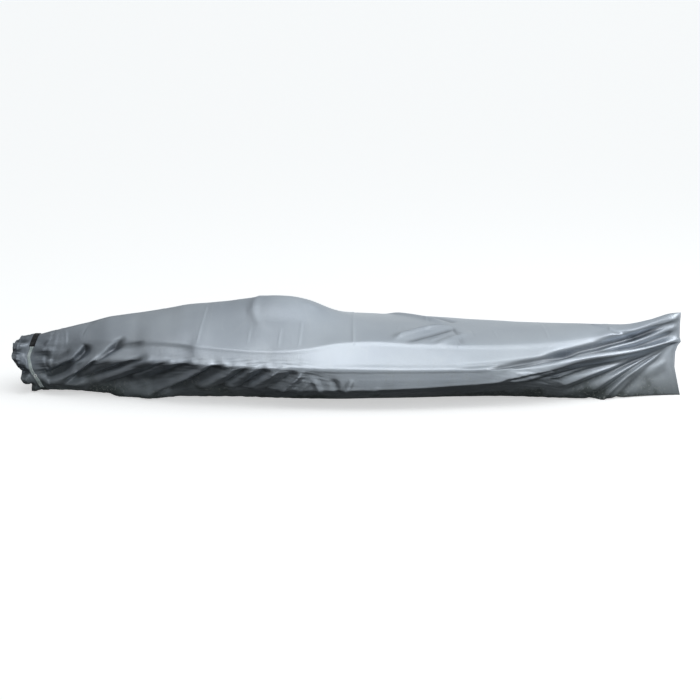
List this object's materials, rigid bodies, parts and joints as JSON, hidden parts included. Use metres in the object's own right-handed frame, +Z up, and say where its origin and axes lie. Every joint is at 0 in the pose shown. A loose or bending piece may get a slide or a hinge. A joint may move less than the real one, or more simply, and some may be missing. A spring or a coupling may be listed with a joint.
{
  "type": "kayak cover",
  "caption": "Long fitted cover of silver coated cloth, drawn in and ruffled round a webbing strap at one end and sewn flat into an upright fin at the other.",
  "frame": {"origin": "just under the highest part of the cover's top, inside, where the covered boat carries it; the floor is 423.5 mm below", "axes": "+X along the cover from its ruffled mouth to its sewn fin, +Z up, -Y to the viewer"},
  "size_m": [2.9898, 0.7133, 0.4254],
  "materials": {
    "silver_cloth": "silver coated woven polyester with a soft satin sheen",
    "black_webbing": "plain woven black webbing",
    "pale_tape": "pale grey woven tape",
    "eyelet_metal": "plain bright metal"
  },
  "bodies": {
    "root": {"cover": "silver_cloth", "cinch_strap": "black_webbing", "cinch_tape": "pale_tape", "eyelet": "eyelet_metal"}
  },
  "joints": []
}
